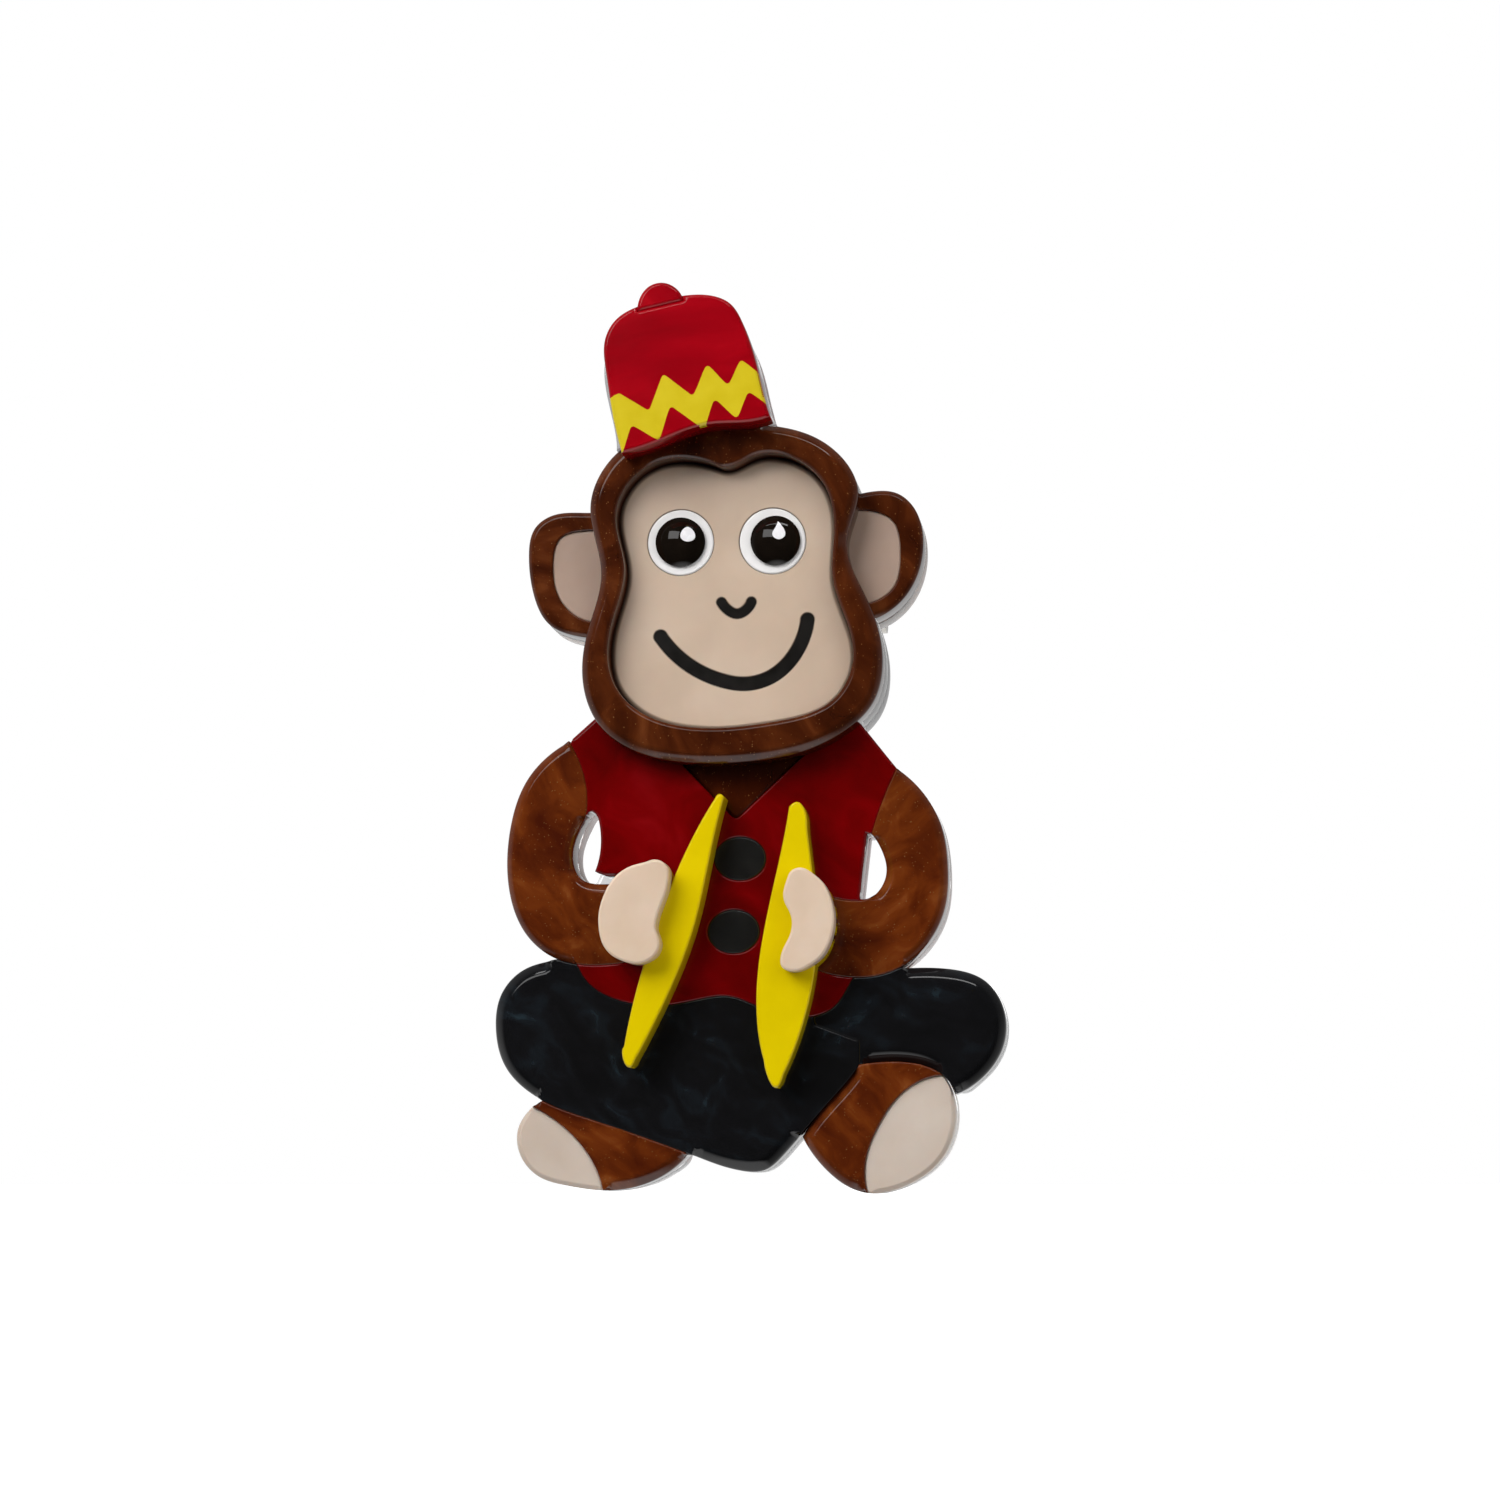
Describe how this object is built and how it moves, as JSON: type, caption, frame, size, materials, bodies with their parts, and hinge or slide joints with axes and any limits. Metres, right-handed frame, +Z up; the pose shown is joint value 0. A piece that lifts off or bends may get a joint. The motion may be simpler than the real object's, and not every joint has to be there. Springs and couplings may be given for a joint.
{
  "type": "layered resin monkey brooch",
  "caption": "Flat layered resin brooch of a sitting monkey in a hat and waistcoat holding cymbals, on a clear backing, with a hinged pin and a turning safety catch behind.",
  "frame": {"origin": "the middle of the closed pin stem's straight stretch, behind the head", "axes": "+Z up as the brooch is worn, +X along the stem from its hinge to its point, which is the viewer's right, and -Y out of the front"},
  "size_m": [0.0407, 0.018, 0.072],
  "materials": {
    "clear_acrylic": "clear cast acrylic sheet, polished edges",
    "brown_resin": "tortoise-brown resin sheet with pearl swirls and fine gold glitter, polished",
    "dark_brown_resin": "dark brown resin sheet, polished",
    "cream_resin": "cream satin resin sheet",
    "sole_resin": "pale grey-cream satin resin sheet",
    "hand_resin": "pale cream satin resin sheet",
    "red_resin": "deep red pearlescent resin sheet, polished",
    "hat_resin": "bright red resin sheet, polished",
    "yellow_resin": "opaque yellow resin sheet, polished",
    "inlay_yellow": "yellow pearl inlay, flush with the hat",
    "navy_resin": "blue-black pearlescent resin sheet, polished",
    "button_black": "black resin, semi-matt face",
    "eye_white": "opaque white resin",
    "pupil_black": "glossy black domed resin",
    "paint_white": "raised white paint",
    "paint_black": "black paint filling an engraved line",
    "pin_metal": "nickel-plated steel finding",
    "glue": "clear set adhesive"
  },
  "bodies": {
    "root": {"backing_plate": "clear_acrylic", "head_spacer": "clear_acrylic", "hat_spacer": "clear_acrylic", "left_hand_spacer": "clear_acrylic", "right_hand_spacer": "clear_acrylic", "head_ring": "brown_resin", "face": "cream_resin", "left_ear": "brown_resin", "right_ear": "brown_resin", "left_inner_ear": "cream_resin", "right_inner_ear": "cream_resin", "left_eye_white": "eye_white", "right_eye_white": "eye_white", "left_pupil": "pupil_black", "right_pupil": "pupil_black", "left_eye_glint": "paint_white", "right_eye_glint": "paint_white", "nose": "paint_black", "mouth": "paint_black", "hat": "hat_resin", "hat_pompom": "hat_resin", "hat_zigzag": "inlay_yellow", "vest": "red_resin", "chest": "dark_brown_resin", "upper_button": "button_black", "lower_button": "button_black", "left_arm": "brown_resin", "right_arm": "brown_resin", "left_hand": "hand_resin", "right_hand": "hand_resin", "left_cymbal": "yellow_resin", "right_cymbal": "yellow_resin", "front_trouser_leg": "navy_resin", "rear_trouser_leg": "navy_resin", "left_foot": "brown_resin", "right_foot": "brown_resin", "left_sole": "sole_resin", "right_sole": "sole_resin", "pin_base": "pin_metal", "hinge_rivet": "pin_metal", "bar_glue": "glue"},
    "stem": {"pin_stem": "pin_metal"},
    "catch": {"catch_rotor": "pin_metal"}
  },
  "joints": [
    {"name": "pin_hinge", "type": "hinge", "parent": "root", "child": "stem", "pos_m": [-0.0106, 0, 0], "axis": [0, 0, 1], "range_deg": [0, 85]},
    {"name": "catch_turn", "type": "hinge", "parent": "root", "child": "catch", "pos_m": [0.0104, 0, 0], "axis": [1, 0, 0], "range_deg": [0, 90]}
  ]
}
